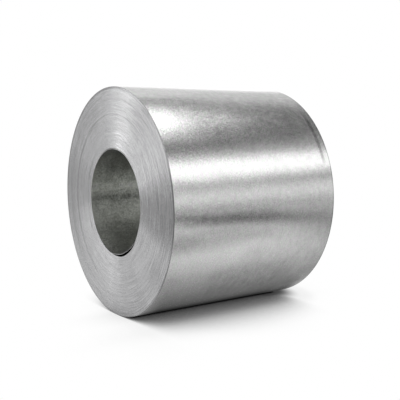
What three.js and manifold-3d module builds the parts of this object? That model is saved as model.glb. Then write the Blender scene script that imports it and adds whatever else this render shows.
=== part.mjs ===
// A coil of galvanised steel strip, lying on its side on a level floor.
//
// Millimetres, +Z up. The winding axis runs along Y, the floor is z = 0 and the origin is on the
// floor under the middle of the coil. Angles are in degrees round the winding axis, from straight
// up towards +X. The strip winds outwards with a falling angle.

import * as THREE from "three";
import { mergeVertices } from "three/addons/utils/BufferGeometryUtils.js";
import Module from "manifold-3d";

const wasm = await Module();
wasm.setup();

// The strip, and the coil that it is wound into.
const STRIP_WIDTH = 914;
const STRIP_THICKNESS = 1;
const BORE_DIAMETER = 508;
const COIL_DIAMETER = 1095;

// Laps creep sideways together as they are wound, so a few dozen turns at a time stand out at one
// end of the coil and lie just as far in at the other.
const GROUP_THICKNESS = 24;
const GROUP_UNEVENNESS = 0.3;
const SIDE_WANDER = 0.8;

// The innermost lap has sprung off its neighbour over a stretch of the bore, and leaves a crescent
// gap behind it.
const LOOSE_LAP_GAP = 12;
const LOOSE_LAP_FROM = 126;
const LOOSE_LAP_TO = 189;

// Round that stretch the whole winding is pressed outwards from the bore. The bulge rises to its
// full depth over the run-out at either end.
const BULGE_DEPTH = 5.5;
const BULGE_FROM = 118;
const BULGE_TO = 186;
const BULGE_RUN_OUT = 22;

// Where the strip starts in the bore and where it ends on the outside. Each end is a step of one
// strip thickness, which runs out over the angle given here.
const INNER_END_ANGLE = 270;
const OUTER_END_ANGLE = 245;
const END_RUN_OUT = 45;

// Every round is this many flats, laid so that the coil rests on one of them. The flats touch the
// true circle, so the diameters hold across them.
const FLATS = 96;
const FLAT_ANGLE = 360 / FLATS;
const CORNER = 1 / Math.cos(Math.PI / FLATS);

// How far a cutter reaches past the metal that it cuts.
const CUT_CLEARANCE = 5;

// Between -1 and 1, another value for each lap group. Steps of the golden angle never settle into a
// rhythm.
const GOLDEN_ANGLE = Math.PI * (3 - Math.sqrt(5));
const wobble = (i) => Math.sin(GOLDEN_ANGLE * i);

const boreRadius = BORE_DIAMETER / 2;
const coilRadius = COIL_DIAMETER / 2;

// The corner between two flats that lies nearest to an angle, as a whole number of flats, and the
// angle of such a corner.
const nearestCorner = (degrees) => Math.round(degrees / FLAT_ANGLE - 0.5);
const cornerAngle = (corner) => (corner + 0.5) * FLAT_ANGLE;

// The lap groups from the bore outwards: the radii that each lies between, and how far it has
// crept towards +Y. The creep is centred, so the coil stands out by as much at both ends.
function lapGroups() {
  const wall = coilRadius - boreRadius;
  const count = Math.max(2, Math.round(wall / GROUP_THICKNESS));
  const creep = Array.from({ length: count }, (_, i) => wobble(i));
  const most = Math.max(...creep);
  const least = Math.min(...creep);
  const edge = (i) => {
    const uneven = i % count === 0 ? 0 : GROUP_UNEVENNESS * wobble(i);
    return boreRadius + (wall * (i + uneven)) / count;
  };
  return creep.map((value, i) => ({
    inner: edge(i),
    outer: edge(i + 1),
    shift: SIDE_WANDER * ((2 * (value - least)) / (most - least) - 1),
  }));
}

// A closed mesh as a manifold-3d solid, and back.
function solid(geometry) {
  geometry.deleteAttribute("normal");
  geometry.deleteAttribute("uv");
  const merged = mergeVertices(geometry);
  return new wasm.Manifold(
    new wasm.Mesh({
      numProp: 3,
      vertProperties: merged.attributes.position.array,
      triVerts: new Uint32Array(merged.index.array),
    }),
  );
}

function geometryOf(made) {
  const mesh = made.getMesh();
  const geometry = new THREE.BufferGeometry();
  geometry.setAttribute("position", new THREE.BufferAttribute(mesh.vertProperties, 3));
  geometry.setIndex(new THREE.BufferAttribute(mesh.triVerts, 1));
  const faceted = geometry.toNonIndexed();
  faceted.computeVertexNormals();
  return faceted;
}

// The whole winding: one profile turned round the axis, with a land for each lap group on its ends.
function turnedWinding(groups) {
  const land = ({ inner, outer, shift }, side) => {
    const y = shift + (side * STRIP_WIDTH) / 2;
    return [new THREE.Vector2(inner * CORNER, y), new THREE.Vector2(outer * CORNER, y)];
  };
  const nearEnd = groups.flatMap((group) => land(group, -1));
  const farEnd = groups.flatMap((group) => land(group, 1)).reverse();
  const profile = [...nearEnd, ...farEnd, nearEnd[0]];
  const firstCorner = THREE.MathUtils.degToRad(cornerAngle(0));
  return solid(new THREE.LatheGeometry(profile, FLATS, firstCorner));
}

// A band between two radii, which may change from corner to corner, over a run of corners and
// between two places along the axis.
function band({ from, to, innerAt, outerAt, low, high }) {
  const corners = Array.from({ length: to - from + 1 }, (_, i) => from + i);
  const place = (radius, corner) => {
    const angle = THREE.MathUtils.degToRad(cornerAngle(corner));
    return new THREE.Vector2(
      radius * CORNER * Math.sin(angle),
      radius * CORNER * Math.cos(angle),
    );
  };
  const meets = (corner) => outerAt(corner) === innerAt(corner);
  const outline = [
    ...corners.map((corner) => place(innerAt(corner), corner)),
    ...corners
      .filter((corner) => !meets(corner))
      .reverse()
      .map((corner) => place(outerAt(corner), corner)),
  ];
  const extruded = new THREE.ExtrudeGeometry(new THREE.Shape(outline), {
    depth: high - low,
    bevelEnabled: false,
  });
  return solid(extruded.rotateX(Math.PI / 2).translate(0, high, 0));
}

// The radius of the bore at a corner where no lap is loose: wider in the bulge.
const bulgeFrom = nearestCorner(BULGE_FROM);
const bulgeTo = nearestCorner(BULGE_TO);
function wallRadius(corner) {
  const fromAnEnd = FLAT_ANGLE * Math.min(corner - bulgeFrom, bulgeTo - corner);
  return boreRadius + BULGE_DEPTH * THREE.MathUtils.smoothstep(fromAnEnd, 0, BULGE_RUN_OUT);
}

// How far the loose lap stands off the next one at a corner: nothing at both ends of the stretch.
const looseFrom = nearestCorner(LOOSE_LAP_FROM);
const looseTo = nearestCorner(LOOSE_LAP_TO);
function looseGap(corner) {
  if (corner === looseFrom || corner === looseTo) return 0;
  const share = (corner - looseFrom) / (looseTo - looseFrom);
  return LOOSE_LAP_GAP * Math.sin(Math.PI * share);
}

// The stretch of the innermost lap that stands into the bore, level with its own lap group.
const looseLap = (group) =>
  band({
    from: looseFrom,
    to: looseTo,
    innerAt: (corner) => wallRadius(corner) - looseGap(corner),
    outerAt: (corner) => wallRadius(corner) + STRIP_THICKNESS,
    low: group.shift - STRIP_WIDTH / 2,
    high: group.shift + STRIP_WIDTH / 2,
  });

const cutLength = {
  low: -STRIP_WIDTH / 2 - SIDE_WANDER - CUT_CLEARANCE,
  high: STRIP_WIDTH / 2 + SIDE_WANDER + CUT_CLEARANCE,
};

// What the bulge takes out of a round bore.
const boreBulge = () =>
  band({
    from: bulgeFrom,
    to: bulgeTo,
    innerAt: () => boreRadius - CUT_CLEARANCE,
    outerAt: wallRadius,
    ...cutLength,
  });

// The gap behind the loose lap, through the whole width of the strip.
const crescentGap = () =>
  band({
    from: looseFrom,
    to: looseTo,
    innerAt: (corner) => wallRadius(corner) + STRIP_THICKNESS - looseGap(corner),
    outerAt: (corner) => wallRadius(corner) + STRIP_THICKNESS,
    ...cutLength,
  });

// The step at the strip's inner end: past it the bore is wider by one strip thickness.
function innerEndStep() {
  const from = nearestCorner(INNER_END_ANGLE);
  const to = nearestCorner(INNER_END_ANGLE + END_RUN_OUT);
  return band({
    from,
    to,
    innerAt: () => boreRadius - CUT_CLEARANCE,
    outerAt: (corner) => boreRadius + (STRIP_THICKNESS * (to - corner)) / (to - from),
    ...cutLength,
  });
}

// The step at the strip's outer end: short of it the coil is narrower by one strip thickness.
function outerEndStep() {
  const from = nearestCorner(OUTER_END_ANGLE - END_RUN_OUT);
  const to = nearestCorner(OUTER_END_ANGLE);
  return band({
    from,
    to,
    innerAt: (corner) => coilRadius - (STRIP_THICKNESS * (corner - from)) / (to - from),
    outerAt: () => coilRadius + CUT_CLEARANCE,
    ...cutLength,
  });
}

const galvanisedSteel = new THREE.MeshStandardMaterial({
  color: 0xb9bbbc,
  roughness: 0.35,
  metalness: 1,
});

function coil() {
  const groups = lapGroups();
  const wound = turnedWinding(groups)
    .subtract(boreBulge())
    .add(looseLap(groups[0]))
    .subtract(crescentGap())
    .subtract(innerEndStep())
    .subtract(outerEndStep());
  const mesh = new THREE.Mesh(geometryOf(wound), galvanisedSteel);
  mesh.name = "coil";
  mesh.position.z = coilRadius;
  return mesh;
}

const steelCoil = new THREE.Group();
steelCoil.add(coil());

export default steelCoil;
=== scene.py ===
"""Dresses a packed steel coil: its wound strip, its sprung innermost lap, and a plain white studio.

Metres, +Z up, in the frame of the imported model: the winding axis lies along Y, the floor is z = 0.
Angles run round the winding axis from straight up, towards +X. The strip winds outwards with a
falling angle. The near end is the one at low Y.
"""

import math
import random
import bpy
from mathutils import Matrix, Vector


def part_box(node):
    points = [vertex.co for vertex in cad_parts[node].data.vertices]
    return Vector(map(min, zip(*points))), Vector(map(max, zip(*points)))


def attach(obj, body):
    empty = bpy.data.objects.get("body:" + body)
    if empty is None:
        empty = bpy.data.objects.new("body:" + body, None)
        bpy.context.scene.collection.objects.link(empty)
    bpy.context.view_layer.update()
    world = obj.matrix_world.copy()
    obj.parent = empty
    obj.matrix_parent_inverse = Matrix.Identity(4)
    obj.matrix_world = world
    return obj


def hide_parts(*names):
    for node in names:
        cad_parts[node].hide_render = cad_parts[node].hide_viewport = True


bl_info = {
    "name": "Steel Coil",
    "version": (1, 0, 0),
    "blender": (4, 5, 0),
    "location": "View3D > Sidebar > Coil",
    "description": "Builds a galvanised steel coil and its studio round a packed model",
    "category": "Object",
}

from typing import NamedTuple

import bmesh
import bpy
from bpy.props import FloatProperty, FloatVectorProperty, IntProperty, PointerProperty
from mathutils import Matrix, Vector, noise

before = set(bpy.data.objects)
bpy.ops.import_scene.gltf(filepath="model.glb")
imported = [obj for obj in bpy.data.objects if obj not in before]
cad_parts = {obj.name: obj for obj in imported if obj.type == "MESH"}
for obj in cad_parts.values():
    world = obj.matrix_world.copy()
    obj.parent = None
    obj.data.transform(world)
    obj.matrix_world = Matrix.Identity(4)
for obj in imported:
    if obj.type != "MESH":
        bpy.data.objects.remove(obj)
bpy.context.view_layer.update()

MM = 0.001
BODY = "root"
NODE = "coil"

low_corner, high_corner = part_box(NODE)
COIL_RADIUS = (high_corner.z - low_corner.z) / 2
AXIS_HEIGHT = low_corner.z + COIL_RADIUS
BORE_RADIUS = 254 * MM

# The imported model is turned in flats. A ring of more corners than this is a lap group's edge.
FLATS = 96
CORNERS_TO_COUNT = 40

# How finely the outside and the bore are divided along the axis.
OUTSIDE_ROWS = 48
BORE_ROWS = 12

# The rings on the ends are drawn at random, each end from its own seed. The unevenness is a share
# of a ring's breadth.
NEAR_END_SEED = 3
FAR_END_SEED = 8
RING_UNEVENNESS = 0.3

# How fine the sheet's waves are, and what the finished mesh takes for a sharp edge and for one place.
WAVE_SCALE = 3.5
SHARP_ANGLE = math.radians(20)
JOINING_DISTANCE = 0.001 * MM


# Sizes, colours and the stage


class CoilSizes(bpy.types.PropertyGroup):
    strip_thickness: FloatProperty(
        name="Strip thickness",
        description="Thickness of the steel strip, and of each lap",
        default=1 * MM,
        unit="LENGTH",
    )
    loose_gap: FloatProperty(
        name="Loose lap gap",
        description="Widest gap behind the innermost lap, where it stands off its neighbour",
        default=12 * MM,
        unit="LENGTH",
    )
    loose_from: FloatProperty(
        name="Loose from",
        description="Angle at which the innermost lap leaves its neighbour",
        default=math.radians(125.6),
        subtype="ANGLE",
    )
    loose_to: FloatProperty(
        name="Loose to",
        description="Angle at which the innermost lap meets its neighbour again",
        default=math.radians(189.4),
        subtype="ANGLE",
    )
    lap_edge: FloatProperty(
        name="Lap edge",
        description="Breadth of the innermost lap's slit edge, burr and all",
        default=1.6 * MM,
        unit="LENGTH",
    )
    bulge: FloatProperty(
        name="Bore bulge",
        description="How far the winding is pressed outwards round the loose stretch",
        default=5.5 * MM,
        unit="LENGTH",
    )
    bulge_from: FloatProperty(
        name="Bulge from",
        description="Angle at which the bulge starts",
        default=math.radians(118),
        subtype="ANGLE",
    )
    bulge_to: FloatProperty(
        name="Bulge to",
        description="Angle at which the bulge ends",
        default=math.radians(185.6),
        subtype="ANGLE",
    )
    bulge_run_out: FloatProperty(
        name="Bulge run-out",
        description="Angle over which the bulge rises from either end to its full depth",
        default=math.radians(22),
        subtype="ANGLE",
    )
    inner_end: FloatProperty(
        name="Inner end",
        description="Angle at which the strip starts in the bore",
        default=math.radians(271.9),
        subtype="ANGLE",
    )
    outer_end: FloatProperty(
        name="Outer end",
        description="Angle at which the strip ends on the outside",
        default=math.radians(245.6),
        subtype="ANGLE",
    )
    end_run_out: FloatProperty(
        name="End run-out",
        description="Angle over which the step at either end of the strip fades out",
        default=math.radians(45),
        subtype="ANGLE",
    )
    ring_pitch: FloatProperty(
        name="Ring pitch",
        description="Average breadth of one ring on the ends: a few laps that lie level",
        default=4.2 * MM,
        unit="LENGTH",
    )
    ring_relief: FloatProperty(
        name="Ring relief",
        description="How far neighbouring rings stand proud of each other",
        default=0.1 * MM,
        unit="LENGTH",
    )
    rim_gap: FloatProperty(
        name="Rim gap",
        description="How far the outermost lap stands off its neighbour at both ends",
        default=0.8 * MM,
        unit="LENGTH",
    )
    rim_gap_depth: FloatProperty(
        name="Rim gap depth",
        description="How deep the gap behind the outermost lap goes",
        default=5 * MM,
        unit="LENGTH",
    )
    edge_break: FloatProperty(
        name="Edge break",
        description="The slit edge's small bevel on the outermost lap",
        default=0.3 * MM,
        unit="LENGTH",
    )
    sheet_wave: FloatProperty(
        name="Sheet wave",
        description="Depth of the slow waves in the outermost lap",
        default=0.25 * MM,
        unit="LENGTH",
    )
    columns: IntProperty(
        name="Columns",
        description="Straight segments in one turn",
        default=288,
        min=24,
    )


class CoilColours(bpy.types.PropertyGroup):
    zinc: FloatVectorProperty(
        name="Zinc",
        description="The galvanised outside of the strip",
        default=(0.755, 0.73, 0.75),
        subtype="COLOR",
        min=0,
        max=1,
    )
    zinc_bloom: FloatVectorProperty(
        name="Zinc bloom",
        description="The other tint that the zinc shows from grain to grain",
        default=(0.73, 0.755, 0.725),
        subtype="COLOR",
        min=0,
        max=1,
    )
    slit_edge: FloatVectorProperty(
        name="Slit edges",
        description="The bare slit edges that make up both ends",
        default=(0.70, 0.70, 0.709),
        subtype="COLOR",
        min=0,
        max=1,
    )
    bore: FloatVectorProperty(
        name="Bore",
        description="The dulled inner side of the innermost lap",
        default=(0.70, 0.708, 0.683),
        subtype="COLOR",
        min=0,
        max=1,
    )
    # Painted shade: the gaps' near-black colour.
    gap: FloatVectorProperty(
        name="Gaps",
        description="The dark between laps that stand apart",
        default=(0.02, 0.02, 0.018),
        subtype="COLOR",
        min=0,
        max=1,
    )


class CoilStage(bpy.types.PropertyGroup):
    floor_radius: FloatProperty(
        name="Floor radius",
        description="Radius of the round studio floor",
        default=40,
        unit="LENGTH",
    )
    lens: FloatProperty(
        name="Lens",
        description="Focal length in millimetres on a 36 mm sensor",
        default=67.21,
    )
    shift: FloatProperty(
        name="Sideways shift",
        description="How far the lens is shifted, as a share of the picture's width",
        default=-0.15,
    )
    camera_place: FloatVectorProperty(
        name="Camera place",
        description="Where the camera stands",
        default=(3.2193, -2.0739, 0.9565),
        subtype="TRANSLATION",
    )
    camera_azimuth: FloatProperty(
        name="Camera azimuth",
        description="How far the camera turns from looking along +Y towards -X",
        default=math.radians(52.23),
        subtype="ANGLE",
    )
    camera_dip: FloatProperty(
        name="Camera dip",
        description="How far the camera looks down",
        default=math.radians(6.41),
        subtype="ANGLE",
    )


# Shader maths


class Value:
    """A shader socket that Python's arithmetic works on: each operation adds one Math node."""

    def __init__(self, shader, socket):
        self.shader = shader
        self.socket = socket

    def out(self, name):
        """Another output of the same node."""
        return Value(self.shader, self.socket.node.outputs[name])

    def maths(self, operation, *operands):
        """A Math node of numbers and sockets."""
        inputs = dict(enumerate(operands))
        return self.shader.node("ShaderNodeMath", {"operation": operation}, inputs)

    def __add__(self, other):
        return self.maths("ADD", self, other)

    def __sub__(self, other):
        return self.maths("SUBTRACT", self, other)

    def __rsub__(self, other):
        return self.maths("SUBTRACT", other, self)

    def __mul__(self, other):
        return self.maths("MULTIPLY", self, other)

    def __truediv__(self, other):
        return self.maths("DIVIDE", self, other)

    def __rtruediv__(self, other):
        return self.maths("DIVIDE", other, self)

    def __pow__(self, other):
        return self.maths("POWER", self, other)

    def __abs__(self):
        return self.maths("ABSOLUTE", self)

    __radd__ = __add__
    __rmul__ = __mul__


class Shader:
    """The node tree of one material or world, emptied and ready to be written."""

    def __init__(self, owner):
        owner.use_nodes = True
        self.tree = owner.node_tree
        self.tree.nodes.clear()

    def node(self, kind, settings=None, inputs=None, output=0):
        """Adds a node, makes its settings, then sets or links its sockets, and gives an output."""
        made = self.tree.nodes.new(kind)
        for name, value in (settings or {}).items():
            setattr(made, name, value)
        for key, value in (inputs or {}).items():
            if isinstance(value, Value):
                self.tree.links.new(value.socket, made.inputs[key])
            else:
                made.inputs[key].default_value = value
        return Value(self, made.outputs[output]) if made.outputs else None

    def fade(self, value, start, finish, low=0.0, high=1.0):
        """low up to start, high from finish on, and a smooth step between."""
        reach = {"From Min": start, "From Max": finish, "To Min": low, "To Max": high}
        settings = {"interpolation_type": "SMOOTHSTEP"}
        return self.node("ShaderNodeMapRange", settings, {"Value": value, **reach})

    def mix(self, factor, a, b):
        """A colour between a and b."""
        return self.node("ShaderNodeMix", {"data_type": "RGBA"}, {0: factor, 6: a, 7: b}, output=2)

    def tint(self, colour, shade):
        """A colour times a number from a socket."""
        grey = self.node("ShaderNodeCombineColor", {}, {0: shade, 1: shade, 2: shade})
        settings = {"data_type": "RGBA", "blend_type": "MULTIPLY"}
        return self.node("ShaderNodeMix", settings, {0: 1.0, 6: colour, 7: grey}, output=2)

    def vector(self, x, y, z):
        return self.node("ShaderNodeCombineXYZ", {}, {0: x, 1: y, 2: z})

    def vector_maths(self, operation, *operands):
        inputs = dict(enumerate(operands))
        return self.node("ShaderNodeVectorMath", {"operation": operation}, inputs)

    def scaled(self, vector, scale):
        settings = {"operation": "SCALE"}
        return self.node("ShaderNodeVectorMath", settings, {"Vector": vector, "Scale": scale})

    def noise(self, where, scale=1.0, detail=2.0, output="Fac"):
        inputs = {"Vector": where, "Scale": scale, "Detail": detail}
        return self.node("ShaderNodeTexNoise", {}, inputs, output=output)

    def surface(self, closure):
        self.node("ShaderNodeOutputMaterial", {}, {"Surface": closure})


class Fade(NamedTuple):
    """One level up to a start, another from a finish on, and a smooth step between."""

    start: float
    finish: float
    low: float = 0.0
    high: float = 1.0


class Sector(NamedTuple):
    """Part of the way round the coil: its middle, half its breadth and the breadth of the fade at
    either side, in degrees, and how strong it is."""

    angle: float
    half_width: float
    soft: float
    strength: float = 1.0


class Around:
    """Where a point of the coil lies: along its axis, out from it and round it."""

    def __init__(self, shader):
        self.shader = shader
        self.position = shader.node("ShaderNodeNewGeometry", output="Position")
        parts = shader.node("ShaderNodeSeparateXYZ", {}, {0: self.position})
        self.x = parts
        self.along = parts.out("Y")
        self.up = parts.out("Z") - AXIS_HEIGHT
        self.radius = (self.x * self.x + self.up * self.up) ** 0.5
        self.sine = self.x / self.radius
        self.cosine = self.up / self.radius

    def outward(self):
        return self.shader.vector(self.sine, 0.0, self.cosine)

    def sector(self, angle, half_width, soft, strength=1.0):
        """strength within half_width of an angle round the axis, fading to 0 over the next soft."""
        angle, inner, outer = (math.radians(a) for a in (angle, half_width, half_width + soft))
        nearness = self.sine * math.sin(angle) + self.cosine * math.cos(angle)
        return self.shader.fade(nearness, math.cos(outer), math.cos(inner), 0.0, strength)

    def sectors(self, *sectors):
        """The sum of several sectors."""
        first, *others = (self.sector(*sector) for sector in sectors)
        return sum(others, first)

    def outwards(self, start, finish, low=0.0, high=1.0):
        """A fade between two shares of the coil's radius."""
        return self.shader.fade(self.radius, start * COIL_RADIUS, finish * COIL_RADIUS, low, high)

    def past_near_end(self, start, finish, low=0.0, high=1.0):
        """A fade between two distances from the near end."""
        return self.shader.fade(self.along, low_corner.y + start, low_corner.y + finish, low, high)

    def before_far_end(self, start, finish, low=0.0, high=1.0):
        """A fade between two distances short of the far end."""
        return self.shader.fade(self.along, high_corner.y - start, high_corner.y - finish, low, high)

    def ring(self, radius, half_width):
        """1 at a radius, fading to 0 at half_width from it."""
        return self.shader.fade(abs(self.radius - radius), 0.0, half_width, 1.0, 0.0)

    def rings(self, pitch, drift):
        """Coordinates for noise that runs in rings and changes slowly round each of them."""
        return self.shader.vector(self.radius / pitch, self.sine * drift, self.cosine * drift)

    def turned_grain(self, along, round_it):
        """Coordinates for grain of one size along the axis and another across it."""
        return self.shader.vector(self.x / round_it, self.along / along, self.up / round_it)


def rgba(colour):
    return (*colour, 1.0)


def metal(shader, colour, roughness, normal):
    inputs = {"Base Color": colour, "Metallic": 1.0, "Roughness": roughness, "Normal": normal}
    shader.surface(shader.node("ShaderNodeBsdfPrincipled", {}, inputs))


def tilted(shader, *leans):
    """The surface normal, leaned over by some vectors."""
    normal = shader.node("ShaderNodeNewGeometry", output="Normal")
    for lean in leans:
        normal = shader.vector_maths("ADD", normal, lean)
    return shader.vector_maths("NORMALIZE", normal)


def grain_lean(shader, where, lean, scale=1.0, detail=2.0):
    """A small vector that leans a normal this way and that, grain by grain."""
    colour = shader.noise(where, scale, detail, output="Color")
    centred = shader.vector_maths("SUBTRACT", colour, (0.5, 0.5, 0.5))
    return shader.scaled(centred, lean)


# The outside


class Smudge(NamedTuple):
    """A mark of painted shade on the outside, or of painted light where it is below 0: its angle round
    the coil and its reach to either side, in degrees, where it starts and ends along the axis, and how
    much darker it is."""

    angle: float
    reach: float
    start: float
    finish: float
    darker: float


# Marks of painted shade on the outside, and of painted light below 0, where its reflections fall darker
# or lighter.
PAINTED_MARKS = {
    "side line": Smudge(94.5, reach=4, start=-420 * MM, finish=80 * MM, darker=0.15),
    "low side": Smudge(131, reach=14, start=-200 * MM, finish=270 * MM, darker=0.17),
    "painted light low": Smudge(116, reach=8, start=-520 * MM, finish=-60 * MM, darker=-0.12),
    "painted light far end": Smudge(159, reach=17, start=310 * MM, finish=520 * MM, darker=-1.15),
    "painted light side": Smudge(90, reach=5, start=40 * MM, finish=520 * MM, darker=-0.07),
    "band foot": Smudge(75.5, reach=5, start=80 * MM, finish=520 * MM, darker=0.07),
    "near end line": Smudge(105, reach=5, start=-520 * MM, finish=-320 * MM, darker=0.10),
    "painted shade top": Smudge(8, reach=8, start=-520 * MM, finish=-330 * MM, darker=0.07),
    "upper line": Smudge(30, reach=5, start=-520 * MM, finish=-130 * MM, darker=0.08),
    "painted light near end": Smudge(42, reach=13, start=-520 * MM, finish=-330 * MM, darker=-0.15),
    "painted shade near end": Smudge(50, reach=13, start=-260 * MM, finish=-110 * MM, darker=0.15),
}
PAINTED_MARK_FADE = 60 * MM

# Where the zinc's grain and mottling change round the coil, and where shade is painted on it.
LOW_SIDE = Sector(137, half_width=28, soft=20)
CRISP_BANDS = (Sector(47, half_width=13, soft=12), Sector(104, half_width=16, soft=14))
SMOOTH_BAND = Sector(72, half_width=9, soft=12)
QUIET_BAND = Sector(53, half_width=9, soft=10)
# Painted shade along the bottom, where the coil rests on the floor.
CONTACT_SHADE_BAND = Sector(180, half_width=19, soft=12, strength=0.92)
# Painted shade: a dark streak beside the far rim, where a crease would reflect dark.
FAR_RIM_STREAK_SHADE = Sector(56, half_width=10, soft=7, strength=0.4)
FAR_RIM_STREAK_PLACE = high_corner.y - 40 * MM


def zinc_mottle(shader, around):
    """The zinc's mottling, drawn out round the coil on its low side."""
    even = shader.noise(around.turned_grain(along=32 * MM, round_it=24 * MM))
    drawn_out = shader.noise(around.turned_grain(along=30 * MM, round_it=48 * MM))
    return even + (drawn_out - even) * around.sector(*LOW_SIDE)


def zinc_shade(shader, around, spangle, mottle, clouds):
    """The zinc's shade: its grain and mottling, crisper in some bands round the coil and quieter in
    others, over streaks, clouds and patches."""
    streaks = shader.noise(around.turned_grain(along=7 * MM, round_it=300 * MM))
    patches = shader.noise(around.position, 15.0)
    low_side, smooth = around.sector(*LOW_SIDE), around.sector(*SMOOTH_BAND)
    quiet = around.sector(*QUIET_BAND) * around.past_near_end(180 * MM, 420 * MM, 1.0, 0.0)
    lively = around.before_far_end(240 * MM, 90 * MM)
    crisp = around.sectors(*CRISP_BANDS)
    grain_contrast = 0.34 + 0.15 * crisp - 0.03 * smooth + 0.08 * low_side
    mottle_contrast = 0.35 - 0.16 * smooth - 0.14 * low_side - 0.22 * quiet + 0.14 * lively
    shade = 0.895 + (spangle - 0.5) * grain_contrast + (mottle - 0.5) * mottle_contrast
    return shade + 0.04 * streaks + 0.06 * clouds + 0.11 * patches


def smudged(shader, around, shade, mottle):
    """A shade with the outside's marks of painted shade and painted light, broken up by the mottling."""
    broken = shader.fade(mottle, 0.3, 0.7, 1.2, 0.8)
    for painted_mark in PAINTED_MARKS.values():
        mark = around.sector(painted_mark.angle, 0.0, painted_mark.reach, painted_mark.darker) * broken
        for end, low, high in ((painted_mark.start, 0.0, 1.0), (painted_mark.finish, 1.0, 0.0)):
            mark = mark * shader.fade(around.along, end - PAINTED_MARK_FADE, end + PAINTED_MARK_FADE, low, high)
        shade = shade - mark
    return shade


def galvanised_outside(colours):
    """Smooth zinc with fine grain and mottling, marks of painted shade and painted light, painted shade
    beside the far rim, and painted shade where it rests on the floor."""
    material = bpy.data.materials.new("galvanised_outside")
    shader = Shader(material)
    around = Around(shader)
    grain = around.turned_grain(along=4 * MM, round_it=7 * MM)
    spangle = shader.noise(grain)
    mottle = zinc_mottle(shader, around)
    clouds = shader.noise(around.position, 5.0, 3.0)
    # Painted shade beside the far rim: a dark streak, and below it a thin dark line at the edge.
    far_rim_streak = shader.fade(abs(around.along - FAR_RIM_STREAK_PLACE), 4 * MM, 15 * MM, 1.0, 0.0)
    far_rim_streak = far_rim_streak * around.sector(*FAR_RIM_STREAK_SHADE)
    # Painted shade: a thin dark line along the far rim.
    far_edge = around.before_far_end(7 * MM, 3 * MM, 0.0, 0.45)
    contact_shade = around.sector(*CONTACT_SHADE_BAND) * around.before_far_end(260 * MM, 60 * MM, 1.0, 0.18)
    shade = zinc_shade(shader, around, spangle, mottle, clouds) - far_rim_streak - far_edge
    shade = smudged(shader, around, shade, mottle) * (1 - contact_shade)
    bloom = shader.noise(around.turned_grain(along=14 * MM, round_it=18 * MM))
    bloom = shader.fade(bloom, 0.36, 0.64)
    colour = shader.mix(bloom, rgba(colours.zinc), rgba(colours.zinc_bloom))
    roughness = 0.14 + 0.12 * spangle + 0.04 * clouds
    fine = grain_lean(shader, grain, lean=0.11)
    slow = grain_lean(shader, around.position, lean=0.03, scale=6.0, detail=1.0)
    metal(shader, shader.tint(colour, shade), roughness, tilted(shader, fine, slow))
    return material


# The ends


# A lap that stands proud: a light ring with a dark one inside it.
PROUD_RING = 0.777 * COIL_RADIUS
PROUD_RING_REACH = 3.5 * MM
PROUD_RING_SHADE = 5 * MM

# Where the rings show more, and where the ends are flecked.
UNEVEN_SIDE = Sector(140, half_width=50, soft=40)
STRIPED = (
    Sector(106, half_width=12, soft=14, strength=0.42),
    Sector(35, half_width=12, soft=14, strength=0.24),
    Sector(255, half_width=8, soft=14, strength=-0.18),
    Sector(182, half_width=22, soft=14, strength=0.12),
)
FLECKED = Sector(322, half_width=16, soft=18, strength=0.14)

# Painted shade at the outermost laps, for the gap behind the last lap, and at the top of the
# bore's lip: how much darker they are.
RIM_PAINTED_SHADE_ALL_ROUND = 0.02
RIM_PAINTED_SHADE = (
    Sector(310, half_width=45, soft=30, strength=0.27),
    Sector(100, half_width=38, soft=22, strength=0.25),
)
LIP_PAINTED_SHADE = Sector(0, half_width=14, soft=26, strength=0.62)

# Painted reflection: light and dark fans from the bore to the rim, where the rings' sheen falls
# lighter or darker, and others that fade between two shares of the coil's radius.
PAINTED_REFLECTION_FANS = (
    Sector(60, half_width=0, soft=12, strength=0.06),
    Sector(91, half_width=0, soft=22, strength=-0.23),
    Sector(160, half_width=4, soft=14, strength=-0.09),
)
PAINTED_REFLECTION_PART_FANS = {
    Fade(0.62, 0.86, 1.0, 0.0): (
        Sector(16, half_width=5, soft=12, strength=0.05),
        Sector(105, half_width=3, soft=11, strength=0.08),
        Sector(181, half_width=3, soft=11, strength=0.05),
        Sector(255, half_width=3, soft=11, strength=0.05),
    ),
    Fade(0.62, 0.86): (
        Sector(140, half_width=12, soft=13, strength=-0.08),
        Sector(322, half_width=8, soft=14, strength=-0.06),
    ),
    Fade(0.5, 0.9, 1.0, 0.1): (
        Sector(226, half_width=22, soft=22, strength=0.10),
        Sector(249, half_width=3, soft=14, strength=0.07),
    ),
    Fade(0.68, 0.85): (Sector(34, half_width=3, soft=13, strength=-0.07),),
}


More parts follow.
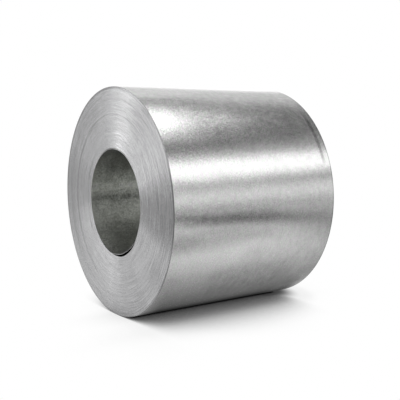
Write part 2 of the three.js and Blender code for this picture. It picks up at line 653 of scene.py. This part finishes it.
def slit_shade(shader, around, line):
    """The ends' shade: rings of lighter and darker edges, specks, fans of painted reflection, lighter
    towards the bore, and painted shade at the rim and the lip."""
    band = shader.noise(around.rings(14 * MM, drift=2.0), detail=1.0)
    speck = shader.noise(around.position, 130.0, 1.0)
    uneven = around.sector(*UNEVEN_SIDE)
    striped = around.outwards(0.84, 0.97, 0.24, 0.54) + 0.36 * uneven + around.sectors(*STRIPED)
    shade = 0.96 + (line - 0.5) * striped
    shade = shade + (band - 0.5) * (0.13 + 0.12 * uneven)
    shade = shade + (speck - 0.5) * (0.18 + 0.08 * uneven + around.sector(*FLECKED))
    # Lighter towards the bore and darker towards the rim.
    shade = shade + shader.fade(around.radius, BORE_RADIUS, 0.95 * COIL_RADIUS, 0.06, -0.06)
    shade = shade + 0.09 * around.ring(PROUD_RING, PROUD_RING_REACH)
    shade = shade - 0.09 * around.ring(PROUD_RING - PROUD_RING_SHADE, PROUD_RING_REACH)
    lip = shader.fade(around.radius, BORE_RADIUS + 4 * MM, BORE_RADIUS + 7 * MM, 1.0, 0.0)
    rim = shader.fade(around.radius, COIL_RADIUS - 13 * MM, COIL_RADIUS - 8 * MM)
    shade = shade - lip * around.sector(*LIP_PAINTED_SHADE)
    shade = shade - rim * (RIM_PAINTED_SHADE_ALL_ROUND + around.sectors(*RIM_PAINTED_SHADE))
    for across, reflection_fans in PAINTED_REFLECTION_PART_FANS.items():
        shade = shade + around.outwards(*across) * around.sectors(*reflection_fans)
    return shade + around.sectors(*PAINTED_REFLECTION_FANS)


def slit_ends(colours):
    """Hundreds of bare strip edges side by side: each lap has its own tone and leans its own way."""
    material = bpy.data.materials.new("slit_ends")
    shader = Shader(material)
    around = Around(shader)
    burr = shader.noise(around.rings(0.12 * MM, drift=3.0), detail=1.0)
    line = shader.noise(around.rings(2.6 * MM, drift=4.0))
    lean = 0.2 + (burr - 0.5) * 8.0 + (line - 0.5) * 0.4
    slope = shader.scaled(around.outward(), lean)
    straight_out = shader.vector(0.0, around.along.maths("SIGN", around.along) * 3, 0.0)
    colour = shader.tint(rgba(colours.slit_edge), slit_shade(shader, around, line))
    metal(shader, colour, 0.22, tilted(shader, slope, straight_out))
    return material


# The bore


# The tail of the strip shows through the innermost lap: beside it, painted shade in a dark line
# and a darker stretch, and a painted highlight in a light stretch.
TAIL_ANGLE = 269
TAIL_LINE_SHADE = Sector(TAIL_ANGLE, half_width=0, soft=4, strength=0.24)
TAIL_PAINTED_SHADE = Sector(TAIL_ANGLE - 1.5, half_width=0, soft=8.5, strength=0.30)
TAIL_PAINTED_HIGHLIGHT = Sector(TAIL_ANGLE + 13.5, half_width=0, soft=6.2)

# Painted shade above and low down inside the bore, and painted light, mottled, at its mouth.
BORE_PAINTED_SHADE = (
    Sector(323, half_width=14, soft=22, strength=0.31),
    Sector(221, half_width=8, soft=20, strength=0.33),
)
LOWER_SIDE_PAINTED_SHADE = Sector(229, half_width=3, soft=13, strength=0.09)
MOUTH_PAINTED_LIGHT = Sector(206, half_width=8, soft=14, strength=0.5)


def bore_shade(shader, around, blotch):
    """The bore's shade: blotches and stains, painted shade and a painted highlight by the tail,
    painted light at the mouth and painted shade further in.
    """
    stain = shader.noise(around.position, 18.0, 3.0)
    tail_shade = around.sector(*TAIL_PAINTED_SHADE) * around.past_near_end(10 * MM, 150 * MM, 0.6, 1.12)
    mouth = around.sector(*MOUTH_PAINTED_LIGHT) * around.past_near_end(10 * MM, 90 * MM, 1.0, 0.0)
    inside = around.past_near_end(30 * MM, 110 * MM)
    shade = 0.47 + 0.74 * blotch + 0.47 * stain - around.sector(*TAIL_LINE_SHADE) - tail_shade
    shade = shade + mouth * shader.fade(blotch, 0.42, 0.62)
    shade = shade * (1 - inside * around.sectors(*BORE_PAINTED_SHADE) - around.sector(*LOWER_SIDE_PAINTED_SHADE))
    shade = shade + around.sector(*TAIL_PAINTED_HIGHLIGHT) * (0.02 + 0.7 * stain)
    # Painted shade: darker deeper into the bore.
    return shade * around.past_near_end(120 * MM, 280 * MM, 1.0, 0.96)


def dull_bore(colours):
    """The inner side of the innermost lap: the same zinc, mottled and dulled, with painted shade and
    light.
    """
    material = bpy.data.materials.new("dull_bore")
    shader = Shader(material)
    around = Around(shader)
    grain = around.turned_grain(along=9 * MM, round_it=8 * MM)
    blotch = shader.noise(grain, detail=3.0)
    colour = shader.tint(rgba(colours.bore), bore_shade(shader, around, blotch))
    fine = grain_lean(shader, grain, lean=0.45)
    slow = grain_lean(shader, around.position, lean=0.19, scale=22.0)
    metal(shader, colour, 0.30, tilted(shader, fine, slow))
    return material


def painted_gap_shade(colours):
    """Painted shade: the near-black of the gaps between laps."""
    material = bpy.data.materials.new("painted_gap_shade")
    shader = Shader(material)
    around = Around(shader)
    smear = shader.noise(around.turned_grain(along=20 * MM, round_it=20 * MM))
    colour = shader.tint(rgba(colours.gap), 0.7 + 0.6 * smear)
    inputs = {"Base Color": colour, "Roughness": 0.6, "Specular IOR Level": 0.0}
    shader.surface(shader.node("ShaderNodeBsdfPrincipled", {}, inputs))
    return material


MAKERS = (galvanised_outside, slit_ends, dull_bore, painted_gap_shade)
OUTSIDE, SLIT, BORE, GAP = range(len(MAKERS))


# The shape of the winding


def lap_groups():
    """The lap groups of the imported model's near end: (inner radius, outer radius, place along Y).
    Corners count as one ring where they agree to a hundredth of a millimetre."""
    lands = {}
    turned = {}
    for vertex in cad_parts[NODE].data.vertices:
        x, y, z = vertex.co
        radius = math.hypot(x, z - AXIS_HEIGHT)
        turned.setdefault((round(y, 6), round(radius, 5)), []).append(vertex.index)
    for (y, radius), found in turned.items():
        if y < 0 and len(found) > CORNERS_TO_COUNT:
            lands.setdefault(y, []).append(radius)
    corner = math.cos(math.pi / FLATS)
    groups = [(min(radii) * corner, max(radii) * corner, y) for y, radii in lands.items()]
    return sorted(groups)


def winding_columns(sizes):
    """(angle, past) for each column of vertices. At either end of the strip there are two at one
    angle, one short of the step and one past it."""
    step = 2 * math.pi / sizes.columns
    even = [(i * step, False) for i in range(sizes.columns)]
    ends = [(angle, past) for angle in (sizes.inner_end, sizes.outer_end) for past in (False, True)]
    too_near = step / 4
    kept = [c for c in even if min(abs(c[0] - angle) for angle, _ in ends) > too_near]
    return sorted(kept + ends)


def outer_step(sizes, angle, past):
    """How far the outside lies in, short of the strip's outer end."""
    start = sizes.outer_end - sizes.end_run_out
    if past or not start < angle <= sizes.outer_end:
        return 0.0
    return sizes.strip_thickness * (angle - start) / sizes.end_run_out


def inner_step(sizes, angle, past):
    """How much wider the bore is, past the strip's inner end."""
    finish = sizes.inner_end + sizes.end_run_out
    on_the_step = sizes.inner_end < angle < finish or (angle == sizes.inner_end and past)
    if not on_the_step:
        return 0.0
    return sizes.strip_thickness * (finish - angle) / sizes.end_run_out


def loose_gap(sizes, angle):
    """How far the innermost lap stands off its neighbour."""
    if not sizes.loose_from < angle < sizes.loose_to:
        return 0.0
    share = (angle - sizes.loose_from) / (sizes.loose_to - sizes.loose_from)
    return sizes.loose_gap * math.sin(math.pi * share)


def smooth_step(share):
    share = min(max(share, 0.0), 1.0)
    return share * share * (3 - 2 * share)


def bore_bulge(sizes, angle):
    """How far the winding is pressed outwards round the loose stretch."""
    from_an_end = min(angle - sizes.bulge_from, sizes.bulge_to - angle)
    return sizes.bulge * smooth_step(from_an_end / sizes.bulge_run_out)


def far_place(near_y, groups):
    """Where a lap that ends at near_y ends on the far end: every lap is as wide as the strip."""
    return near_y - 2 * sum(y for _, _, y in groups) / len(groups)


def end_profile(sizes, groups, side, bore, seed):
    """(radius, y, material) points across one end, from the bore outwards, each with the material
    of the stretch that follows it: the rings of each lap group, then the gap behind the outermost
    lap and its own edge."""
    draw = random.Random(seed)
    points = []
    for inner, outer, near_y in groups:
        land = near_y if side < 0 else far_place(near_y, groups)
        inner = max(inner, bore)
        count = max(1, round((outer - inner) / sizes.ring_pitch))
        for i in range(count):
            uneven = draw.uniform(-RING_UNEVENNESS, RING_UNEVENNESS) if i else 0
            radius = inner + (outer - inner) * (i + uneven) / count
            sunk = draw.uniform(0, sizes.ring_relief)
            points.append((radius, land - side * sunk, SLIT))
    rim = COIL_RADIUS
    last_lap = rim - sizes.strip_thickness
    gap_from = last_lap - sizes.rim_gap
    face_y = points[-1][1]
    gap_floor = face_y - side * sizes.rim_gap_depth
    edge = sizes.edge_break
    return points + [
        (gap_from, face_y, GAP),
        (gap_from, gap_floor, GAP),
        (last_lap, gap_floor, GAP),
        (last_lap, face_y, SLIT),
        (rim - edge, face_y, SLIT),
        (rim, face_y - side * edge, OUTSIDE),
    ]


def sheet_wave(sizes, angle, y):
    """How far the outside lies in at a place, for the slow waves of the outermost lap."""
    place = Vector((math.sin(angle), y, math.cos(angle))) * WAVE_SCALE
    return sizes.sheet_wave * (0.5 - 0.5 * noise.noise(place))


def steps_between(start, finish, count):
    """The places that divide a length into count parts, without its two ends."""
    return [start + (finish - start) * i / count for i in range(1, count)]


def turned_back(profile, last_slot):
    """The same points the other way round, each still with the material of the stretch that
    follows it."""
    points = [(r, y) for r, y, _ in reversed(profile)]
    slots = [slot for _, _, slot in reversed(profile)][1:] + [last_slot]
    return [(*point, slot) for point, slot in zip(points, slots)]


def winding_profiles(sizes, columns, groups):
    """One closed profile for each column: near end, outside, far end and the side behind the
    innermost lap."""
    bore = groups[0][0] + sizes.strip_thickness
    near = end_profile(sizes, groups, -1, bore, seed=NEAR_END_SEED)
    far = turned_back(end_profile(sizes, groups, 1, bore, seed=FAR_END_SEED), GAP)
    outside = steps_between(near[-1][1], far[0][1], OUTSIDE_ROWS)
    inside = steps_between(far[-1][1], near[0][1], BORE_ROWS)
    profiles = []
    for angle, past in columns:
        inner = bore + inner_step(sizes, angle, past) + bore_bulge(sizes, angle)
        outer = COIL_RADIUS - outer_step(sizes, angle, past)
        ends = [[(min(max(r, inner), outer), y, slot) for r, y, slot in end] for end in (near, far)]
        wall = [(outer - sheet_wave(sizes, angle, y), y, OUTSIDE) for y in outside]
        profiles.append(ends[0] + wall + ends[1] + [(inner, y, GAP) for y in inside])
    return profiles


def finish_mesh(mesh):
    """Joins the doubled columns where they meet, faces every polygon outwards and marks the sharp
    edges."""
    edit = bmesh.new()
    edit.from_mesh(mesh)
    bmesh.ops.remove_doubles(edit, verts=edit.verts, dist=JOINING_DISTANCE)
    bmesh.ops.dissolve_degenerate(edit, edges=edit.edges, dist=JOINING_DISTANCE)
    bmesh.ops.recalc_face_normals(edit, faces=edit.faces)
    for edge in edit.edges:
        edge.smooth = edge.calc_face_angle(0) < SHARP_ANGLE
    edit.to_mesh(mesh)
    edit.free()
    mesh.update()


def revolve(name, columns, profiles):
    """Adds a piece whose closed mesh has one closed profile of (radius, y, material) points for
    each column."""
    rows = len(profiles[0])
    vertices = []
    for (angle, _), profile in zip(columns, profiles):
        sine, cosine = math.sin(angle), math.cos(angle)
        vertices += [(r * sine, y, AXIS_HEIGHT + r * cosine) for r, y, _ in profile]
    faces, slots = [], []
    for c in range(len(columns)):
        here, there = c * rows, (c + 1) % len(columns) * rows
        for i in range(rows):
            j = (i + 1) % rows
            faces.append((here + i, here + j, there + j, there + i))
            slots.append(profiles[0][i][2])
    mesh = bpy.data.meshes.new(name)
    mesh.from_pydata(vertices, [], faces)
    mesh.polygons.foreach_set("material_index", slots)
    mesh.polygons.foreach_set("use_smooth", [slot in (OUTSIDE, BORE) for slot in slots])
    finish_mesh(mesh)
    piece = bpy.data.objects.new(name, mesh)
    bpy.context.scene.collection.objects.link(piece)
    for maker in MAKERS:
        made = bpy.data.materials.get(maker.__name__)
        mesh.materials.append(made or maker(bpy.context.scene.coil_colours))
    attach(piece, BODY)
    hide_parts(NODE)


class COIL_OT_winding(bpy.types.Operator):
    """Builds the wound strip from its second lap to its outer end"""

    bl_idname = "steel_coil.winding"
    bl_label = "Winding"

    def execute(self, context):
        sizes = context.scene.coil_sizes
        columns = winding_columns(sizes)
        revolve("winding", columns, winding_profiles(sizes, columns, lap_groups()))
        return {"FINISHED"}


class COIL_OT_inner_lap(bpy.types.Operator):
    """Builds the innermost lap, which has sprung off its neighbour low in the bore"""

    bl_idname = "steel_coil.inner_lap"
    bl_label = "Innermost lap"

    def execute(self, context):
        sizes = context.scene.coil_sizes
        columns = winding_columns(sizes)
        groups = lap_groups()
        bore, _, near_y = groups[0]
        far_y = far_place(near_y, groups)
        inside = [near_y, *steps_between(near_y, far_y, BORE_ROWS), far_y]
        profiles = []
        for angle, past in columns:
            inner = bore + inner_step(sizes, angle, past)
            inner += bore_bulge(sizes, angle) - loose_gap(sizes, angle)
            outer = inner + sizes.strip_thickness
            inner = outer - sizes.lap_edge
            behind = [(outer, y, GAP) for y in inside[:-1]] + [(outer, far_y, SLIT)]
            seen = [(inner, y, BORE) for y in reversed(inside[1:])] + [(inner, near_y, SLIT)]
            profiles.append(behind + seen)
        revolve("inner_lap", columns, profiles)
        return {"FINISHED"}


# The studio


WHITE = (1.0, 1.0, 1.0, 1.0)
MATT_GREY = (0.5, 0.5, 0.5, 1.0)
FLOOR_SEGMENTS = 64
SENSOR_WIDTH = 36

# The floor as the metal sees it. Across its turn, in metres, it is pale beside the coil, passes
# into a darker middle and ends in plain grey.
FLOOR_TURN = math.radians(80)
BESIDE_COIL = Fade(-2.5, 0.65, 0.1, 1.1)
MIDDLE = Fade(-2.0, 2.0, 0.7, 0.35)
FAR_GREY = 0.45
TO_MIDDLE = Fade(0.5, 1.45)
TO_FAR = Fade(1.5, 1.9)

# Where the coil itself hides the floor's light: under it, between two places along it, but not
# behind its far end.
HIDDEN_REACH = 0.5
HIDDEN_POWER = 1.15
HIDDEN_FROM = Fade(-0.65, -0.3)
HIDDEN_TO = Fade(1.3, 1.45, 1.0, 0.0)
PAST_FAR_END = Fade(0.46, 0.66)
BEHIND_COIL = Fade(0.12, 0.42, 0.85, 0.0)

# The coil's shadow, by the share of open sky over the floor, which reads as more or less at some
# places. Metres on the floor.
SKY_REACH = 3.0
SKY_SAMPLES = 16
SHADOW = Fade(-0.052, 0.696)
LEFT_LIGHTER = Fade(-0.17, 0.01, 0.076, 0.0)
NEAR_RIGHT_DARKER = (Fade(0.15, 0.415, 0.0, 0.128), Fade(-0.53, -0.28, 1.0, 0.0))
RIGHT_LINE_RISE = Fade(0.16, 0.25)
RIGHT_LINE_FALL = Fade(0.25, 0.37, 0.027, 0.0)
RIGHT_LINE_ALONG = Fade(-0.42, -0.30)
UNDER_DARKER = (Fade(0.085, 0.12, 0.09, 0.0), Fade(0.42, 0.455, 1.0, 0.0))

# Past the far end the shadow goes by the distance from where the coil's middle line ends.
ROUND_END_PLACE = 0.42
ROUND_END_SQUEEZE = 1.7
ROUND_END_FADES = (Fade(0.12, 0.30, 0.06, 0.54), Fade(0.30, 0.60, 0.0, 0.4))
ROUND_END_FROM = Fade(0.2, 0.35, 1.0, 0.0)


class FloorMat(NamedTuple):
    """A darker patch of the floor, seen only in the metal: its middle and its reach across and along
    the floor's turn in metres, how soft it is as a share of its reach, and how much darker it is."""

    x: float
    y: float
    across: float
    along: float
    soft: float
    darker: float


FLOOR_MATS = (
    FloorMat(1.15, 0.15, across=0.45, along=0.25, soft=0.45, darker=0.45),
    FloorMat(2.35, 0.60, across=0.70, along=0.80, soft=0.50, darker=0.40),
)


def floor_in_metal(shader, x, y):
    """How bright the floor is to the metal."""
    across = x * math.cos(FLOOR_TURN) + y * math.sin(FLOOR_TURN)
    along = y * math.cos(FLOOR_TURN) - x * math.sin(FLOOR_TURN)
    near, middle = shader.fade(across, *BESIDE_COIL), shader.fade(across, *MIDDLE)
    pale = near + (middle - near) * shader.fade(abs(across), *TO_MIDDLE)
    pale = pale + (FAR_GREY - middle) * shader.fade(abs(across), *TO_FAR)
    for mat in FLOOR_MATS:
        turned = Vector((mat.x, mat.y)) @ Matrix.Rotation(FLOOR_TURN, 2)
        covered = mat.darker
        for place, centre, reach in ((across, turned.x, mat.across), (along, turned.y, mat.along)):
            edge = Fade(reach * (1 - mat.soft), reach * (1 + mat.soft), 1.0, 0.0)
            covered = shader.fade(abs(place - centre), *edge) * covered
        pale = pale - covered
    under = 1 - (x * x / (x * x + HIDDEN_REACH**2)) ** HIDDEN_POWER
    behind = shader.fade(y, *PAST_FAR_END) * shader.fade(abs(x), *BEHIND_COIL)
    hidden = under * shader.fade(y, *HIDDEN_FROM) * shader.fade(y, *HIDDEN_TO) * (1 - behind)
    return pale * (1 - hidden)


def coil_shadow(shader, x, y):
    """The coil's shadow on the floor: 0 where it is darkest, 1 in the open."""
    settings, inputs = {"samples": SKY_SAMPLES}, {"Distance": SKY_REACH}
    sky = shader.node("ShaderNodeAmbientOcclusion", settings, inputs, output="AO")
    sky = sky + shader.fade(x, *LEFT_LIGHTER)
    across, along = NEAR_RIGHT_DARKER
    sky = sky - shader.fade(x, *across) * shader.fade(y, *along)
    line = shader.fade(x, *RIGHT_LINE_RISE) * shader.fade(x, *RIGHT_LINE_FALL)
    sky = sky - line * shader.fade(y, *RIGHT_LINE_ALONG)
    past_end = y.maths("MAXIMUM", y - ROUND_END_PLACE, 0.0) * ROUND_END_SQUEEZE
    off_end = (x * x + past_end * past_end) ** 0.5
    round_end = shader.fade(y, *ROUND_END_FROM)
    for fade in ROUND_END_FADES:
        round_end = round_end + shader.fade(off_end, *fade)
    sky = sky.maths("MINIMUM", sky, round_end)
    across, along = UNDER_DARKER
    sky = sky - shader.fade(abs(x), *across) * shader.fade(abs(y), *along)
    return shader.fade(sky, *SHADOW)


def white_floor():
    """White to the camera but for the coil's own shadow; to the metal, a pale floor with a dark edge."""
    material = bpy.data.materials.new("white_floor")
    shader = Shader(material)
    position = shader.node("ShaderNodeNewGeometry", output="Position")
    x = shader.node("ShaderNodeSeparateXYZ", {}, {0: position})
    y = x.out("Y")
    seen = shader.node("ShaderNodeLightPath")
    to_camera = seen.out("Is Camera Ray")
    glow = to_camera * coil_shadow(shader, x, y) + (1 - to_camera) * floor_in_metal(shader, x, y)
    shown = shader.node("ShaderNodeEmission", {}, {"Color": shader.tint(WHITE, glow)})
    matt = shader.node("ShaderNodeBsdfDiffuse", {}, {"Color": MATT_GREY})
    shown_or_matt = {0: seen.out("Is Diffuse Ray"), 1: shown, 2: matt}
    shader.surface(shader.node("ShaderNodeMixShader", {}, shown_or_matt))
    return material


class Softbox(NamedTuple):
    """A panel of light in the room: its middle, its reach and how soft it is at its sides and at
    its upper and lower edges, all in degrees, and its strength. Azimuths run from +Y towards +X."""

    azimuth: float
    elevation: float
    half_width: float
    half_height: float
    side: float
    edge: float
    strength: float


SOFTBOXES = {
    "long strip": Softbox(70, 27, half_width=38, half_height=8, side=5, edge=4, strength=1.2),
    "far corner": Softbox(-43, 7, half_width=17, half_height=10, side=10, edge=10, strength=0.8),
    "back left": Softbox(-150, 20, half_width=34, half_height=22, side=6, edge=3, strength=0.7),
    "near left": Softbox(-120, 32, half_width=8, half_height=21, side=4, edge=9, strength=1.45),
    "left wall": Softbox(-65, 45, half_width=15, half_height=15, side=5, edge=10, strength=0.2),
    "high right": Softbox(51, 64, half_width=23, half_height=11, side=6, edge=6, strength=1.0),
    "front right": Softbox(115, 40, half_width=30, half_height=25, side=10, edge=10, strength=1.2),
    "left": Softbox(-96, 20, half_width=13, half_height=10, side=6, edge=7, strength=0.58),
    "behind": Softbox(-13, 15, half_width=18, half_height=18, side=5, edge=6, strength=0.75),
    "dark board": Softbox(-110, 5, half_width=10, half_height=5, side=5, edge=5, strength=-0.15),
}

# The grey room behind the softboxes, by elevation in degrees: light low down, a ceiling, a lift of
# the high left wall and a dark corner, both by how far round they reach from an azimuth.
ROOM = Fade(5, 15, 0.9, 0.36)
HIGH_WALL_DROP = Fade(42, 44, 0.0, 0.25)
CEILING = Fade(54, 60, 0.0, 1.7)
LEFT_WALL_AZIMUTH = -70
LEFT_WALL_ROUND = Fade(25, 60, 0.3, 0.0)
LEFT_WALL_UP = Fade(48, 70, 1.0, 0.0)
CORNER_AZIMUTH = -140
CORNER_ROUND = Fade(55, 58, 0.75, 0.0)
CORNER_UP = Fade(0, 15, 0.5, 1.0)
LIGHT_ON_MATT = 0.8


def room_light(shader, direction):
    """The light that the room and its softboxes send to the metal from each direction."""
    parts = shader.node("ShaderNodeSeparateXYZ", {}, {0: direction})
    x, y, z = parts, parts.out("Y"), parts.out("Z")
    elevation = z.maths("ARCSINE", z) * (180 / math.pi)

    def off_azimuth(azimuth):
        turn = math.radians(azimuth)
        sideways = x * math.cos(turn) - y * math.sin(turn)
        forward = x * math.sin(turn) + y * math.cos(turn)
        return abs(x.maths("ARCTAN2", sideways, forward)) * (180 / math.pi)

    left = shader.fade(off_azimuth(LEFT_WALL_AZIMUTH), *LEFT_WALL_ROUND)
    corner = shader.fade(off_azimuth(CORNER_AZIMUTH), *CORNER_ROUND)
    room = shader.fade(elevation, *ROOM) - shader.fade(elevation, *HIGH_WALL_DROP)
    room = room + left * shader.fade(elevation, *LEFT_WALL_UP)
    room = room * (1 - corner * shader.fade(elevation, *CORNER_UP))
    light = room + shader.fade(elevation, *CEILING)
    for box in SOFTBOXES.values():
        off_side, off_height = off_azimuth(box.azimuth), abs(elevation - box.elevation)
        across = Fade(box.half_width - box.side, box.half_width + box.side, box.strength, 0.0)
        upright = Fade(box.half_height - box.edge, box.half_height + box.edge, 1.0, 0.0)
        light = light + shader.fade(off_side, *across) * shader.fade(off_height, *upright)
    return light


def studio_world(scene):
    """White to the camera, even light for the floor, and softboxes in a grey room for the metal."""
    world = bpy.data.worlds.new("studio")
    scene.world = world
    shader = Shader(world)
    direction = shader.node("ShaderNodeTexCoord", output="Generated")
    seen = shader.node("ShaderNodeLightPath")
    straight = 1 - seen.maths("MINIMUM", seen.out("Diffuse Depth"), 1.0)
    to_metal = seen.out("Is Glossy Ray") * straight * room_light(shader, direction)
    to_matt = seen.out("Is Diffuse Ray") * LIGHT_ON_MATT
    strength = seen.out("Is Camera Ray") + to_metal + to_matt
    colour = shader.tint(WHITE, strength)
    background = shader.node("ShaderNodeBackground", {}, {"Color": colour})
    shader.node("ShaderNodeOutputWorld", {}, {"Surface": background})
    world.cycles.sampling_method = "NONE"


def studio_camera(scene, stage):
    """The camera, level but for its dip, with its lens shifted sideways."""
    data = bpy.data.cameras.new("camera")
    data.lens = stage.lens
    data.sensor_width = SENSOR_WIDTH
    data.shift_x = stage.shift
    camera = bpy.data.objects.new("camera", data)
    camera.location = stage.camera_place
    camera.rotation_euler = (math.pi / 2 - stage.camera_dip, 0, stage.camera_azimuth)
    scene.collection.objects.link(camera)
    scene.camera = camera


class COIL_OT_studio(bpy.types.Operator):
    """Builds the white floor, the light and the camera"""

    bl_idname = "steel_coil.studio"
    bl_label = "Studio"

    def execute(self, context):
        scene, stage = context.scene, context.scene.coil_stage
        mesh = bpy.data.meshes.new("floor")
        edit = bmesh.new()
        radius = stage.floor_radius
        bmesh.ops.create_circle(edit, cap_ends=True, segments=FLOOR_SEGMENTS, radius=radius)
        edit.to_mesh(mesh)
        edit.free()
        floor = bpy.data.objects.new("floor", mesh)
        mesh.materials.append(white_floor())
        scene.collection.objects.link(floor)
        studio_world(scene)
        studio_camera(scene, stage)
        scene.view_settings.view_transform = "Standard"
        return {"FINISHED"}


class COIL_PT_panel(bpy.types.Panel):
    """Lists the coil's pieces, sizes and colours"""

    bl_idname = "COIL_PT_panel"
    bl_label = "Steel Coil"
    bl_space_type = "VIEW_3D"
    bl_region_type = "UI"
    bl_category = "Coil"

    def draw(self, context):
        layout = self.layout
        for operator in OPERATORS:
            layout.operator(operator.bl_idname)
        for group_name, group in GROUPS.items():
            for name in group.__annotations__:
                layout.prop(getattr(context.scene, group_name), name)


GROUPS = {"coil_sizes": CoilSizes, "coil_colours": CoilColours, "coil_stage": CoilStage}
OPERATORS = (COIL_OT_winding, COIL_OT_inner_lap, COIL_OT_studio)


def register():
    for made in (*GROUPS.values(), *OPERATORS, COIL_PT_panel):
        bpy.utils.register_class(made)
    for name, group in GROUPS.items():
        setattr(bpy.types.Scene, name, PointerProperty(type=group))


def unregister():
    for name in GROUPS:
        delattr(bpy.types.Scene, name)
    for made in (COIL_PT_panel, *reversed(OPERATORS), *GROUPS.values()):
        bpy.utils.unregister_class(made)


def main():
    register()
    bpy.ops.steel_coil.winding()
    bpy.ops.steel_coil.inner_lap()
    bpy.ops.steel_coil.studio()


if __name__ == "__main__":
    main()
